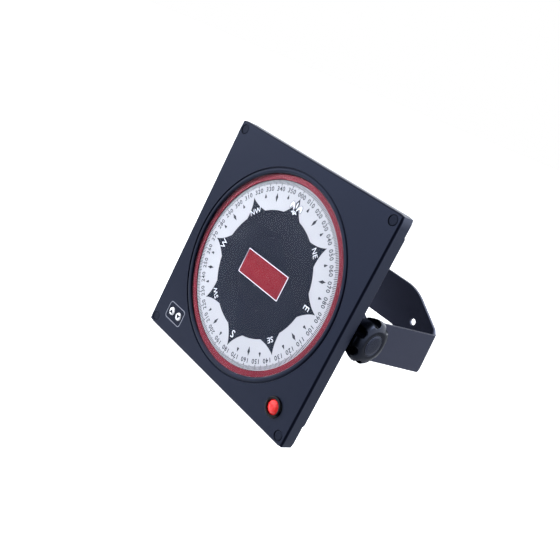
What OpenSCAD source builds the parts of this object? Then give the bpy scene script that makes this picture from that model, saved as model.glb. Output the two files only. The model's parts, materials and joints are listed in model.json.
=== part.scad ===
// Marine heading repeater: a rotating compass card with a fixed digital window in a square
// panel instrument, carried by two clamp knobs in a flat steel trunnion bracket.
// Frame: +X right, +Z up, the dial faces -Y. The origin is the middle of the bracket's rear face.

/* [Bezel] */
// Width and height of the square front bezel
bezel_size = 192; // [188:1:200]
// Depth of the bezel tray, front face to back
bezel_depth = 12.1; // [12:0.1:16]
// How much further back the rim of its two sides reaches
rim_extra = 1.6; // [1:0.1:2.5]
// Chamfer round the bezel's front edge
bezel_chamfer = 1.4; // [0.5:0.1:2]
// Radius of the dial opening
opening_r = 80.4; // [79:0.1:82]

/* [Dial] */
// Outer radius of the rotating compass card
card_r = 75.3; // [70:0.1:75.6]
// Radius of the fixed disc in the middle of the card
centre_r = 29; // [28:0.1:30]
// Width of the digital window
window_w = 50; // [40:1:50]
// Height of the digital window
window_h = 20; // [14:1:20]

/* [Controls] */
// Sideways place of the red push button
button_x = 72.7; // [70:0.1:78]
// Height of the red push button
button_z = -75.1; // [-78:0.1:-74]
// Sideways place of the middle of the two-key pad
keypad_x = -68; // [-72:0.5:-66]
// Height of the two-key pad
keypad_z = -75.8; // [-78:0.1:-74]
// Distance between the two keys
key_pitch = 9.8; // [9:0.1:11]

/* [Housing] */
// Outer width of the rear housing
housing_w = 147; // [140:1:147]
// Top of the rear housing above the dial's centre
housing_top = 76; // [72:1:84]
// Bottom of the rear housing below the dial's centre
housing_bottom = -89.5; // [-90:0.5:-86]
// Depth of the instrument, front face to rear cover
housing_depth = 44.6; // [44:0.1:60]

/* [Bracket] */
// Overall width of the bracket, over both arms
bracket_w = 156; // [155:1:160]
// Thickness of the bracket's steel
bracket_t = 2.5; // [2:0.1:2.8]
// Distance from the knob axis to the bracket's rear face
bracket_reach = 115.6; // [110:0.1:140]
// Height of the bracket's base strip
strip_h = 40; // [36:1:44]
// Distance between the two base holes
base_pitch = 100; // [96:1:104]
// Radius of each base hole
base_hole_r = 3; // [2.5:0.1:3.5]
// Angle that the dial looks up by, as built
tilt = 6.5; // [0:0.5:12]

/* [Knobs] */
// Radius over the knob's lobes
knob_r = 18.2; // [17:0.1:19.5]
// Height of the knob
knob_h = 23.2; // [20:0.1:28]

/* [Hidden] */
$fn = 96;
eps = 0.01;
over = 1;

// Depths in the instrument, measured back from the bezel's front face.
half = bezel_size / 2;
wall_y = 3;
rim_y = 9.6;
rim_back = bezel_depth + rim_extra;
rim_low = -75;
rim_top = 80;
gasket_t = 1;
flange_y = rim_y + gasket_t;
glass_y = 0.6;
glass_t = 1.5;
ring_y = glass_y + glass_t;
ring_back_y = 4.5;
well_y = 7;
card_y = 2.8;
card_t = 1;
disc_t = 2;
hub_y = card_y + card_t;
sleeve_y = hub_y + 1.4;
sleeve_end_y = 13;
carrier_end_y = 15.4;
chassis_t = 2;
chassis_end_y = carrier_end_y + chassis_t;
cover_t = 2;
cover_y = housing_depth - cover_t;
seal_t = 0.8;
board_y = 38.2;
board_t = 1.6;

// Knob axis and the stack of pieces along it, from the housing's side outwards.
pivot_y = 33;
side_x = housing_w / 2;
arm_x = bracket_w / 2 - bracket_t;
washer_t = 1.4;
washer_r = 11;
boss_r = 8.6;
play = 0.1;
washer_x = arm_x - play - washer_t;
clamp_washer_t = 1.3;
clamp_x = bracket_w / 2 + play;
knob_x = clamp_x + clamp_washer_t;
stud_r = 4;
fit = 0.05;

// Gear pair that turns the card.
gear_module = 1.5;
card_teeth = 48;
pinion_teeth = 12;
card_pitch_r = gear_module * card_teeth / 2;
pinion_pitch_r = gear_module * pinion_teeth / 2;
pinion_z = -(card_pitch_r + pinion_pitch_r);
gear_y = 7.4;
gear_t = 4;
journal_r = 27.5;

corner_x = half - 7.3;
corner_z = half - 6.6;
black = "#2c303c";
steel = "#b8bcc4";
board_green = "#1f5a36";

// Carries the instrument from its own frame, dial centre at the front face, to the bracket's frame.
module instrument() {
    translate([0, -bracket_reach, 0])
        rotate([-tilt, 0, 0])
            translate([0, -pivot_y, 0])
                children();
}

// A cylinder along +Y from y0 to y1 at x, z.
module rod(x, z, r, y0, y1, sides = 96) {
    translate([x, y0, z])
        rotate([-90, 0, 0])
            cylinder(r = r, h = y1 - y0, $fn = sides);
}

module tube(x, z, r_out, r_in, y0, y1) {
    difference() {
        rod(x, z, r_out, y0, y1);
        rod(x, z, r_in, y0 - over, y1 + over);
    }
}

// A block between two corners.
module block(low, high) {
    translate(low)
        cube(high - low);
}

// A rectangle in the X-Z plane with round corners, from y0 to y1.
module round_block(x0, x1, z0, z1, r, y0, y1) {
    translate([0, y0, 0])
        rotate([-90, 0, 0])
            linear_extrude(y1 - y0)
                mirror([0, 1])
                    rounded(x0, x1, z0, z1, r);
}

module rounded(x0, x1, z0, z1, r) {
    union() {
        translate([x0 + r, z0])
            square([x1 - x0 - 2 * r, z1 - z0]);
        translate([x0, z0 + r])
            square([x1 - x0, z1 - z0 - 2 * r]);
        for (x = [x0 + r, x1 - r], z = [z0 + r, z1 - r])
            translate([x, z])
                circle(r = r, $fn = 48);
    }
}

module corners(x, z) {
    for (sx = [-1, 1], sz = [-1, 1])
        translate([sx * x, 0, sz * z])
            children();
}

// ---- bracket ----
// The base strip drops to its arms through two round shoulders, and the arms rise to the knob axis.
shoulder_x = 27;
shoulder_r = 40;
shoulder_angle = 33;
shoulder_steps = 10;
bend_r = 6;
low_corner_r = 4;
low_corner_y = -8;
arm_top_back = -4.8;
arm_low_back = -41;
arm_top_angle = 7.6;
arm_low_angle = 10;
arm_end_r = 15;
arm_end_back = 22;
outer_x = bracket_w / 2;
bend_x = outer_x - bend_r;
level_x = arm_x - 0.5;
shoulder_end_x = shoulder_x + shoulder_r * sin(shoulder_angle);
shoulder_drop = shoulder_r * (1 - cos(shoulder_angle));

// How far the strip has dropped at x beside its middle.
function drop(x) =
    x < shoulder_x ? 0
    : x < shoulder_end_x ? shoulder_r - sqrt(pow(shoulder_r, 2) - pow(x - shoulder_x, 2))
    : shoulder_drop + (x - shoulder_end_x) * tan(shoulder_angle);

shoulder_xs = [for (i = [0:shoulder_steps]) shoulder_x + shoulder_r * sin(shoulder_angle * i / shoulder_steps)];
strip_top = [for (x = concat(shoulder_xs, [bend_x])) [x, strip_h / 2 - drop(x)]];
right_top = concat(strip_top, [[level_x, arm_top_back], [outer_x + over, arm_top_back]]);
left_top = [for (i = [len(right_top) - 1:-1:0]) [-right_top[i][0], right_top[i][1]]];
top_line = concat(left_top, right_top);
low_line = [for (i = [len(top_line) - 1:-1:0]) [top_line[i][0], max(top_line[i][1] - strip_h, arm_low_back)]];

module bracket_plan() {
    difference() {
        union() {
            translate([-outer_x, -bracket_reach - arm_end_r])
                square([2 * outer_x, bracket_reach + arm_end_r - bend_r]);
            translate([-bend_x, -2 * bend_r])
                square([2 * bend_x, 2 * bend_r]);
            for (s = [-1, 1])
                translate([s * bend_x, -bend_r])
                    circle(r = bend_r, $fn = 64);
        }
        union() {
            translate([-arm_x, -bracket_reach - arm_end_r - over])
                square([2 * arm_x, bracket_reach + arm_end_r + over - bend_r]);
            translate([-bend_x, -2 * bend_r])
                square([2 * bend_x, 2 * bend_r - bracket_t]);
            for (s = [-1, 1])
                translate([s * bend_x, -bend_r])
                    circle(r = bend_r - bracket_t, $fn = 64);
        }
    }
}

// Outline of the base strip and its shoulders, seen from the front.
module base_mask() {
    translate([0, over, 0])
        rotate([90, 0, 0])
            linear_extrude(bend_r + over)
                polygon(concat(top_line, low_line));
}

// Outline of an arm, seen from the side: x runs back from the knob axis.
module arm_outline() {
    back = bracket_reach - bend_r;
    top_front = arm_top_back + back * tan(arm_top_angle);
    low_mid = arm_low_back + (back - arm_end_back) * tan(arm_low_angle);
    polygon([[0, top_front], [back, arm_top_back], [back, arm_low_back], [arm_end_back, low_mid],
        [4, -14], [-4, 0]]);
    circle(r = arm_end_r);
}

module arm_mask() {
    translate([-outer_x - over, -bracket_reach, 0])
        rotate([90, 0, 90])
            linear_extrude(2 * (outer_x + over))
                difference() {
                    arm_outline();
                    circle(r = stud_r + 0.4);
                }
}

// What is cut away to round the strip's lower corner at each bend.
module low_corner() {
    width = 2 * (outer_x + over);
    difference() {
        translate([-width / 2, low_corner_y, arm_low_back - over])
            cube([width, over - low_corner_y, low_corner_r + over]);
        translate([-width / 2 - over, low_corner_y, arm_low_back + low_corner_r])
            rotate([0, 90, 0])
                cylinder(r = low_corner_r, h = width + 2 * over, $fn = 64);
    }
}

module bracket() {
    color(black)
        difference() {
            intersection() {
                translate([0, 0, -60])
                    linear_extrude(120)
                        bracket_plan();
                union() {
                    base_mask();
                    arm_mask();
                }
            }
            low_corner();
            for (s = [-1, 1])
                rod(s * base_pitch / 2, -drop(base_pitch / 2), base_hole_r, -bend_r, over);
        }
}

module friction_washers() {
    color("#202020")
        instrument()
            for (s = [-1, 1])
                side_ring(s, washer_r, stud_r + 0.3, washer_x, washer_x + washer_t);
}

// A ring about the knob axis on side s, from x0 to x1 out from the middle.
module side_ring(s, r_out, r_in, x0, x1) {
    difference() {
        side_rod(s, r_out, x0, x1);
        side_rod(s, r_in, x0 - over, x1 + over);
    }
}

module side_rod(s, r, x0, x1) {
    translate([s * x0, pivot_y, 0])
        rotate([0, s * 90, 0])
            cylinder(r = r, h = x1 - x0);
}

// ---- front ----
key_xs = [keypad_x - key_pitch / 2, keypad_x + key_pitch / 2];
pad_w = 22.4;
pad_h = 15.4;
pad_depth = 0.5;
key_r = 3.5;
button_barrel_r = 7.2;
lip_r = 84.8;

// The square block with a chamfer round its front edge.
module chamfered_block(size, depth, chamfer) {
    h = size / 2;
    outline = [[-h, depth], [-h, chamfer], [-h + chamfer, 0], [h - chamfer, 0], [h, chamfer], [h, depth]];
    intersection() {
        round_block(-h, h, -h, h, 2.5, 0, depth);
        translate([0, 0, -h])
            linear_extrude(size)
                polygon(outline);
        rotate([0, 90, 0])
            translate([0, 0, -h])
                linear_extrude(size)
                    polygon(outline);
    }
}

// The rounded lip round the dial opening, with a fine groove outside it.
module lip_groove() {
    rotate([-90, 0, 0])
        rotate_extrude($fn = 180)
            union() {
                translate([lip_r, 0])
                    circle(r = 0.55, $fn = 24);
                polygon([[opening_r - over, -over], [opening_r + 1.3, -over], [opening_r + 1.3, 0],
                    [opening_r, 0.9], [opening_r - over, 0.9]]);
            }
}

// Takes the rim down to the bezel's depth beyond z, over a slope.
module rim_end(z, s) {
    translate([-half - over, 0, 0])
        rotate([90, 0, 90])
            linear_extrude(2 * (half + over))
                polygon([[bezel_depth, z + s * rim_extra], [rim_back + over, z - s * over],
                    [rim_back + over, s * (half + over)], [bezel_depth, s * (half + over)]]);
}

module front_bezel() {
    color(black)
        instrument()
            difference() {
                union() {
                    difference() {
                        chamfered_block(bezel_size, rim_back, bezel_chamfer);
                        block([-half + 6, wall_y, -half + 6], [half - 6, rim_back + over, half - 6]);
                        block([-half + 3, rim_y, -half + 3], [half - 3, rim_back + over, half - 3]);
                        rim_end(rim_top, 1);
                        rim_end(rim_low, -1);
                    }
                    rod(0, 0, opening_r + 3, wall_y - eps, well_y, 180);
                    corners(corner_x, corner_z)
                        rod(0, 0, 5.5, wall_y - eps, rim_y);
                }
                rod(0, 0, opening_r, -over, ring_back_y, 180);
                rod(0, 0, 77, -over, well_y + over, 180);
                lip_groove();
                corners(corner_x, corner_z) {
                    rod(0, 0, 4, -over, 4);
                    rod(0, 0, 1.7, -over, rim_y + over);
                }
                round_block(keypad_x - pad_w / 2, keypad_x + pad_w / 2, keypad_z - pad_h / 2,
                    keypad_z + pad_h / 2, 3, -over, pad_depth);
                for (x = key_xs)
                    rod(x, keypad_z, key_r + 0.3, -over, wall_y + over);
                rod(button_x, button_z, button_barrel_r + 0.1, -over, wall_y + over);
            }
}

module corner_plugs() {
    color("#1e2029")
        instrument()
            corners(corner_x, corner_z)
                rod(0, 0, 3.85, 0.35, 1.6);
}

module corner_screws() {
    color(steel)
        instrument()
            corners(corner_x, corner_z) {
                difference() {
                    rod(0, 0, 2.75, 2, 4);
                    rod(0, 0, 1.25, 2 - over, 3, 6);
                }
                rod(0, 0, 1.5, 4 - eps, bezel_depth);
            }
}

module window_glass() {
    color([0.85, 0.9, 0.95, 0.3])
        instrument()
            rod(0, 0, opening_r - 0.1, glass_y, ring_y, 180);
}

module red_ring() {
    color("#a83a48")
        instrument()
            difference() {
                rod(0, 0, opening_r - 0.1, ring_y, ring_back_y, 180);
                rod(0, 0, card_r + 0.4, ring_y - over, ring_back_y + over, 180);
            }
}

module front_gasket() {
    color("#181818")
        instrument()
            difference() {
                block([-half + 3.4, rim_y, -half + 3.4], [half - 3.4, flange_y, half - 3.4]);
                block([-half + 5, rim_y - over, -half + 5], [half - 5, flange_y + over, half - 5]);
            }
}

// ---- dial ----
module compass_card() {
    color("#eef1fa")
        instrument()
            difference() {
                rod(0, 0, card_r, card_y, hub_y, 180);
                rod(0, 0, centre_r + 0.4, card_y - over, hub_y + over);
            }
}

module centre_disc() {
    color("#20242f")
        instrument()
            difference() {
                rod(0, 0, centre_r, card_y, card_y + disc_t);
                block([-window_w / 2 - 0.02, card_y - over, -window_h / 2 - 0.02],
                    [window_w / 2 + 0.02, card_y + disc_t + over, window_h / 2 + 0.02]);
            }
}

module display_window() {
    color("#a03a48")
        instrument()
            block([-window_w / 2, card_y - 0.1, -window_h / 2], [window_w / 2, card_y + 1.4, window_h / 2]);
}

// Three digit cells side by side on one module.
module digit_module() {
    color("#303238")
        instrument()
            difference() {
                block([-21, 5, -9], [21, 11, 9]);
                for (i = [-1:1])
                    block([i * 13.5 - 4.5, 5 - over, -7], [i * 13.5 + 4.5, 5.6, 7]);
            }
}

module display_board() {
    color(board_green)
        instrument()
            rod(0, 0, 23.4, 11, 12.6);
}

module display_carrier() {
    color("#3a3d46")
        instrument()
            difference() {
                union() {
                    rod(0, 0, journal_r, card_y + disc_t, carrier_end_y);
                    rod(0, 0, 33, sleeve_end_y + 0.3, carrier_end_y);
                }
                rod(0, 0, 24, card_y, carrier_end_y + over);
            }
}

module card_hub() {
    color("#c8ccd4")
        instrument()
            difference() {
                union() {
                    rod(0, 0, 34, hub_y, sleeve_y);
                    rod(0, 0, 30.5, sleeve_y - eps, sleeve_end_y);
                }
                rod(0, 0, centre_r + 0.4, hub_y - over, sleeve_y);
                rod(0, 0, journal_r + fit, hub_y - over, sleeve_end_y + over);
            }
}

// ---- gears: straight-flanked teeth with backlash, wide gaps and plain ends ----
function polar(r, a) = [r * cos(a), r * sin(a)];

// Half the angle that a tooth takes at radius r on a gear of n teeth, by the involute rule.
function involute(a) = tan(a) * 180 / PI - a;
function half_tooth(r, pitch_r, n) =
    let (base_r = pitch_r * cos(20), a = acos(min(1, base_r / r)), backlash = 0.12 / pitch_r * 180 / PI)
    90 / n - backlash + involute(20) - involute(a);

function gear_outline(n, pitch_r, top_r, root_r) =
    let (base_r = pitch_r * cos(20), low_r = max(root_r, base_r),
        rs = [root_r, low_r + (top_r - low_r) * 0.35, low_r + (top_r - low_r) * 0.7, top_r])
    [for (i = [0:n - 1])
        each concat([for (k = [0:3]) polar(rs[k], i * 360 / n - half_tooth(max(rs[k], low_r), pitch_r, n))],
            [for (k = [3:-1:0]) polar(rs[k], i * 360 / n + half_tooth(max(rs[k], low_r), pitch_r, n))])];

module gear(n, pitch_r, turn) {
    rotate([-90, 0, 0])
        rotate([0, 0, turn])
            linear_extrude(gear_t)
                polygon(gear_outline(n, pitch_r, pitch_r + 0.9 * gear_module, pitch_r - 1.2 * gear_module));
}

// The card gear has a tooth pointing down at the pinion, which has a gap pointing up at it.
module card_gear() {
    color("#e0ddd0")
        instrument()
            difference() {
                translate([0, gear_y, 0])
                    gear(card_teeth, card_pitch_r, 90);
                rod(0, 0, 30.52, gear_y - over, gear_y + gear_t + over);
            }
}

module pinion() {
    color("#d8c27a")
        instrument()
            difference() {
                translate([0, gear_y, pinion_z])
                    gear(pinion_teeth, pinion_pitch_r, 90 + 180 / pinion_teeth);
                rod(0, pinion_z, 2.52, gear_y - over, gear_y + gear_t + over);
            }
}

module motor_shaft() {
    color(steel)
        instrument()
            rod(0, pinion_z, 2.5, gear_y - 0.5, 24);
}

module stepper_motor() {
    color("#4a4d55")
        instrument()
            difference() {
                union() {
                    round_block(-17.5, 17.5, pinion_z - 17.5, pinion_z + 17.5, 3, chassis_end_y, 37);
                    rod(0, pinion_z, 11, carrier_end_y, chassis_end_y + eps);
                }
                rod(0, pinion_z, 2.5 + fit, carrier_end_y - over, 25);
            }
}

// ---- chassis and boards ----
pillar_x = 58;
pillar_z = 55;
lamp_count = 12;
lamp_r = 65;

module chassis_plate() {
    color("#a8abb2")
        instrument()
            difference() {
                union() {
                    round_block(-64, 64, -66, 62, 5, carrier_end_y, chassis_end_y);
                    corners(46, 46)
                        rod(0, 0, 2.5, 8.2, carrier_end_y + eps);
                }
                rod(0, 0, 20, carrier_end_y - over, chassis_end_y + over);
                rod(0, pinion_z, 11.02, carrier_end_y - over, chassis_end_y + over);
            }
}

module chassis_pillars() {
    color(steel)
        instrument()
            corners(pillar_x, pillar_z)
                rod(0, 0, 2.8, well_y, carrier_end_y);
}

module backlight_board() {
    color("#e8e8e0")
        instrument()
            tube(0, 0, 73, 57, 7, 8.2);
}

module backlight_lamps() {
    color("#f0e6a0")
        instrument()
            for (i = [0:lamp_count - 1])
                rotate([0, i * 360 / lamp_count, 0])
                    block([lamp_r - 1.4, 5.8, -1.7], [lamp_r + 1.4, 7, 1.7]);
}

// The main board with its two largest packages.
module main_board() {
    color(board_green)
        instrument() {
            block([-58, board_y, -58], [58, board_y + board_t, 60]);
            block([-40, board_y - 3, 20], [-16, board_y + eps, 44]);
            block([10, board_y - 6, 24], [30, board_y + eps, 38]);
        }
}

module board_spacers() {
    color(steel)
        instrument()
            for (x = [-52, 52], z = [-44, 54])
                rod(x, z, 3, board_y + board_t, cover_y);
}

// A five-way screw terminal for the cable's cores.
module terminal_block() {
    color("#3f8f4f")
        instrument()
            difference() {
                block([22, 27, -56], [54, board_y, -45]);
                for (i = [0:4])
                    rod(26 + i * 6, -50.5, 1.8, 27 - over, 31);
            }
}

// ---- housing ----
housing_wall = 2.5;
screw_x = side_x - 6.5;
cover_screw_zs = [housing_bottom + 6.5, housing_top - 6.5];
gland_x = 38;
gland_z = -71;
gland_r = 8;

module housing_box(inset, y0, y1, r) {
    round_block(-side_x + inset, side_x - inset, housing_bottom + inset, housing_top - inset, r, y0, y1);
}

module rear_housing() {
    seat_y = cover_y - seal_t;
    color(black)
        instrument()
            difference() {
                union() {
                    difference() {
                        union() {
                            block([-half + 3.3, flange_y, -half + 3.3], [half - 3.3, bezel_depth, half - 3.3]);
                            housing_box(0, flange_y, seat_y, 2.5);
                        }
                        housing_box(housing_wall, flange_y - over, seat_y + over, 1);
                    }
                    for (x = [-screw_x, screw_x], z = cover_screw_zs)
                        rod(x, z, 4.5, 22, seat_y);
                    for (s = [-1, 1]) {
                        side_rod(s, boss_r, 62, washer_x);
                    }
                }
                for (s = [-1, 1])
                    side_rod(s, 6.02, 62 - over, side_x + 2);
                for (x = [-screw_x, screw_x], z = cover_screw_zs)
                    rod(x, z, 1.55, 26, seat_y + over);
                corners(corner_x, corner_z)
                    rod(0, 0, 1.55, flange_y - over, bezel_depth + over);
            }
}

module pivot_inserts() {
    color("#c8a850")
        instrument()
            for (s = [-1, 1])
                side_ring(s, 6, stud_r + fit, 63, washer_x);
}

module cover_gasket() {
    color("#181818")
        instrument()
            difference() {
                housing_box(0.3, cover_y - seal_t, cover_y, 2.2);
                housing_box(housing_wall, cover_y - seal_t - over, cover_y + over, 1);
            }
}

module rear_cover() {
    color("#343846")
        instrument()
            difference() {
                housing_box(0, cover_y, housing_depth, 2.5);
                for (x = [-screw_x, screw_x], z = cover_screw_zs)
                    rod(x, z, 1.7, cover_y - over, housing_depth + over);
                rod(gland_x, gland_z, gland_r + fit, cover_y - over, housing_depth + over);
            }
}

module cover_screws() {
    color(steel)
        instrument()
            for (x = [-screw_x, screw_x], z = cover_screw_zs) {
                difference() {
                    rod(x, z, 2.75, housing_depth, housing_depth + 1.8);
                    rod(x, z, 1.25, housing_depth + 0.6, housing_depth + 1.8 + over, 6);
                }
                rod(x, z, 1.5, 32, housing_depth + eps);
            }
}

// The gland's bore takes one round cable; its body is threaded through the rear cover.
cable_r = 4;
gland_inner_y = 36.5;
gland_hex_t = 5;
gland_body_end_y = housing_depth + gland_hex_t + 8;

module cable_gland() {
    color("#1c1d22")
        instrument()
            difference() {
                union() {
                    rod(gland_x, gland_z, gland_r, gland_inner_y, housing_depth + eps);
                    rod(gland_x, gland_z, 11, housing_depth, housing_depth + gland_hex_t, 6);
                    rod(gland_x, gland_z, 7, housing_depth + gland_hex_t - eps, gland_body_end_y);
                }
                rod(gland_x, gland_z, cable_r, gland_inner_y - over, gland_body_end_y + over);
            }
}

module gland_locknut() {
    color("#1c1d22")
        instrument()
            difference() {
                rod(gland_x, gland_z, 11, cover_y - 3, cover_y, 6);
                rod(gland_x, gland_z, gland_r + fit, cover_y - 3 - over, cover_y + over);
            }
}

module gland_nut() {
    nut_y = housing_depth + gland_hex_t + 0.6;
    color("#1c1d22")
        instrument()
            translate([gland_x, nut_y, gland_z])
                rotate([-90, 0, 0])
                    rotate_extrude()
                        polygon([[7 + fit, 0], [10.2, 0], [10.2, 8], [7.6, 12], [cable_r, 12], [cable_r, 8],
                            [7 + fit, 8]]);
}

// ---- keys and push button ----
module keypad_label() {
    color("#23262f")
        instrument()
            difference() {
                round_block(keypad_x - pad_w / 2 + 0.1, keypad_x + pad_w / 2 - 0.1, keypad_z - pad_h / 2 + 0.1,
                    keypad_z + pad_h / 2 - 0.1, 2.9, 0.1, pad_depth);
                for (x = key_xs)
                    rod(x, keypad_z, key_r + 0.2, -over, pad_depth + over);
            }
}

// A key is a round cap with a flange that holds it behind the bezel's wall.
key_face_y = -0.4;

module key(x) {
    color("#f2f2f0")
        instrument() {
            rod(x, keypad_z, key_r, key_face_y, wall_y + 0.2 + eps);
            rod(x, keypad_z, 4.4, wall_y + 0.2, wall_y + 1);
            rod(x, keypad_z, 1.5, wall_y + 1 - eps, wall_y + 1.6);
        }
}

module key_up() {
    key(key_xs[0]);
}

module key_down() {
    key(key_xs[1]);
}

// A small board with one tact switch behind each key.
module key_board() {
    color(board_green)
        instrument() {
            block([keypad_x - 13, 8.6, keypad_z - 8], [keypad_x + 13, 9.8, keypad_z + 8]);
            for (x = key_xs) {
                block([x - 3, 6, keypad_z - 3], [x + 3, 8.6 + eps, keypad_z + 3]);
                rod(x, keypad_z, 1.6, 5.3, 6 + eps);
            }
        }
}

lens_r = 5.85;
button_ring_r = 8.45;
button_proud = 1.6;
barrel_end_y = 7.4;

module button_bezel() {
    color("#15161c")
        instrument()
            translate([button_x, 0, button_z])
                rotate([-90, 0, 0])
                    rotate_extrude()
                        polygon([[lens_r + 0.15, -button_proud], [button_ring_r - 1, -button_proud],
                            [button_ring_r, -button_proud + 1], [button_ring_r, 0], [button_barrel_r, 0],
                            [button_barrel_r, barrel_end_y], [lens_r + 0.15, barrel_end_y]]);
}

module button_lens() {
    color("#f03838")
        instrument() {
            rod(button_x, button_z, lens_r, -button_proud - 0.7, 4.5);
            rod(button_x, button_z, 2, 4.5 - eps, 5.8);
        }
}

module button_nut() {
    color("#26282f")
        instrument()
            difference() {
                rod(button_x, button_z, 9.6, wall_y, wall_y + 2.4, 6);
                rod(button_x, button_z, button_barrel_r + fit, wall_y - over, wall_y + 2.4 + over);
            }
}

module button_switch() {
    color("#2b2d33")
        instrument()
            block([button_x - 6.5, barrel_end_y, button_z - 6.5],
                [button_x + 6.5, flange_y - 0.2, button_z + 6.5]);
}

// ---- knobs ----
// Seven lobes with deep scallops between them, on a round hub, with a cap set in the top.
knob_lobes = 7;
knob_turn = -11;
hub_r = 10;
hub_h = 6;
scoop_r = 4.4;
scoop_reach = 14;
cap_r = 8.5;
cap_t = 1.4;

module knob_profile() {
    crown = knob_h;
    polygon([[0, 0], [hub_r, 0], [hub_r, hub_h], [knob_r - 4.2, hub_h + 0.3], [knob_r - 1.7, crown - 13.2],
        [knob_r - 0.4, crown - 9.4], [knob_r, crown - 6.4], [knob_r - 0.5, crown - 4.2],
        [knob_r - 1.8, crown - 2.6], [knob_r - 4, crown - 1.4], [11.6, crown - 0.6],
        [10.4, crown - 0.4], [0, crown - 0.4]]);
}

// One knob along +Z with its foot at the origin.
module knob_shape() {
    difference() {
        rotate_extrude()
            knob_profile();
        for (i = [1:knob_lobes])
            rotate([0, 0, i * 360 / knob_lobes])
                translate([scoop_r + scoop_reach, 0, hub_h - over])
                    cylinder(r = scoop_r, h = knob_h);
        translate([0, 0, knob_h - cap_t - 0.2])
            cylinder(r = cap_r + 0.1, h = cap_t + over);
        translate([0, 0, -over])
            cylinder(r = stud_r + 0.02, h = 13 + over);
    }
}

module cap_shape() {
    translate([0, 0, knob_h - cap_t - 0.2])
        rotate_extrude()
            polygon([[0, 0], [cap_r, 0], [cap_r, cap_t - 0.6], [cap_r - 0.7, cap_t - 0.2], [cap_r - 2.5, cap_t],
                [0, cap_t + 0.2]]);
}

module on_side(s) {
    instrument()
        translate([s * knob_x, pivot_y, 0])
            rotate([0, s * 90, 0])
                rotate([0, 0, knob_turn])
                    children();
}

module knob(s) {
    color("#16171d")
        on_side(s)
            knob_shape();
}

module knob_cap(s) {
    color("#22242c")
        on_side(s)
            cap_shape();
}

module knob_stud(s) {
    color(steel)
        on_side(s)
            translate([0, 0, 66 - knob_x])
                cylinder(r = stud_r, h = knob_x - 66 + 12.8);
}

module knob_washer(s) {
    color(steel)
        instrument()
            side_ring(s, 9, stud_r + 0.2, clamp_x, clamp_x + clamp_washer_t);
}

module right_knob() {
    knob(1);
}

module right_knob_cap() {
    knob_cap(1);
}

module right_knob_stud() {
    knob_stud(1);
}

module right_knob_washer() {
    knob_washer(1);
}

module left_knob() {
    knob(-1);
}

module left_knob_cap() {
    knob_cap(-1);
}

module left_knob_stud() {
    knob_stud(-1);
}

module left_knob_washer() {
    knob_washer(-1);
}

bracket();
friction_washers();
front_bezel();
corner_plugs();
corner_screws();
window_glass();
red_ring();
centre_disc();
display_window();
digit_module();
display_board();
display_carrier();
compass_card();
card_hub();
card_gear();
chassis_plate();
chassis_pillars();
stepper_motor();
motor_shaft();
pinion();
backlight_board();
backlight_lamps();
main_board();
board_spacers();
terminal_block();
rear_housing();
front_gasket();
rear_cover();
cover_gasket();
cover_screws();
pivot_inserts();
cable_gland();
gland_nut();
gland_locknut();
keypad_label();
key_up();
key_down();
key_board();
button_bezel();
button_lens();
button_nut();
button_switch();
right_knob();
right_knob_cap();
right_knob_stud();
right_knob_washer();
left_knob();
left_knob_cap();
left_knob_stud();
left_knob_washer();
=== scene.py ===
"""Looks of a marine heading repeater on its trunnion bracket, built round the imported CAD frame."""
import json
import math

import bmesh
import bpy
from mathutils import Matrix, Vector


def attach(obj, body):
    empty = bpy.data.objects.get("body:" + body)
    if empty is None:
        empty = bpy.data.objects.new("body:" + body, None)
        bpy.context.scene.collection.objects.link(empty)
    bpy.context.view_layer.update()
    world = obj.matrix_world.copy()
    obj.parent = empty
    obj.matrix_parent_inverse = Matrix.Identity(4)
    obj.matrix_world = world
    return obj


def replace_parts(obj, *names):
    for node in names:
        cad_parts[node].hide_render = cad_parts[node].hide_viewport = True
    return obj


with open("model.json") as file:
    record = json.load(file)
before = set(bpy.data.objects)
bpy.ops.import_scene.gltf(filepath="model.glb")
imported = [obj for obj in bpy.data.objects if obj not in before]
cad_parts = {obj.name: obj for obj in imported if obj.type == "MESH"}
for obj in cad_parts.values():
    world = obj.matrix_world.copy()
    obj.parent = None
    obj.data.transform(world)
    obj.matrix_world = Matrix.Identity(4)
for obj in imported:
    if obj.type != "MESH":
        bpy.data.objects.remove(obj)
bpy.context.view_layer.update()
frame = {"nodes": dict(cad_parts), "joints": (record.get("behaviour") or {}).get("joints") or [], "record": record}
nodes = frame["nodes"]
scene = bpy.context.scene

# Millimetres to metres; half the bezel's width; the depth of the compass card's front.
MM = 0.001
HALF = 96.0
CARD_Y = 2.8
# Depth at which the card's joint is anchored, behind the bezel's front.
JOINT_Y = 3.0
# The middle range of a noise pattern, where most of its values lie.
NOISE_LOW, NOISE_HIGH = 0.3, 0.7
# A point of a profile nearer to the axis than this is the axis itself.
ON_AXIS = 1e-6


# ---- the instrument's own frame: origin at the dial's centre, Y into the panel, millimetres ----
def joint(name):
    return next(j for j in frame["joints"] if j["name"] == name)


def instrument_frame():
    """The tilted panel's frame, taken from the joint that the card turns on."""
    spin = joint("card_spin")
    into = -Vector(spin["axis"]).normalized()
    across = Vector((1, 0, 0))
    up = across.cross(into)
    origin = Vector(spin["pos_m"]) - into * JOINT_Y * MM
    turn = Matrix((across, into, up)).transposed().to_4x4()
    return Matrix.Translation(origin) @ turn @ Matrix.Scale(MM, 4)


INSTRUMENT = instrument_frame()
TO_INSTRUMENT = INSTRUMENT.inverted()


def local_box(node):
    """A CAD node's lowest and highest corners in the instrument's frame, in millimetres."""
    points = [TO_INSTRUMENT @ v.co for v in nodes[node].data.vertices]
    low = Vector(min(p[i] for p in points) for i in range(3))
    high = Vector(max(p[i] for p in points) for i in range(3))
    return low, high


def centre_of(node):
    """The middle of a CAD node seen from the front, as (x, z)."""
    low, high = local_box(node)
    return (low.x + high.x) / 2, (low.z + high.z) / 2


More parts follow.
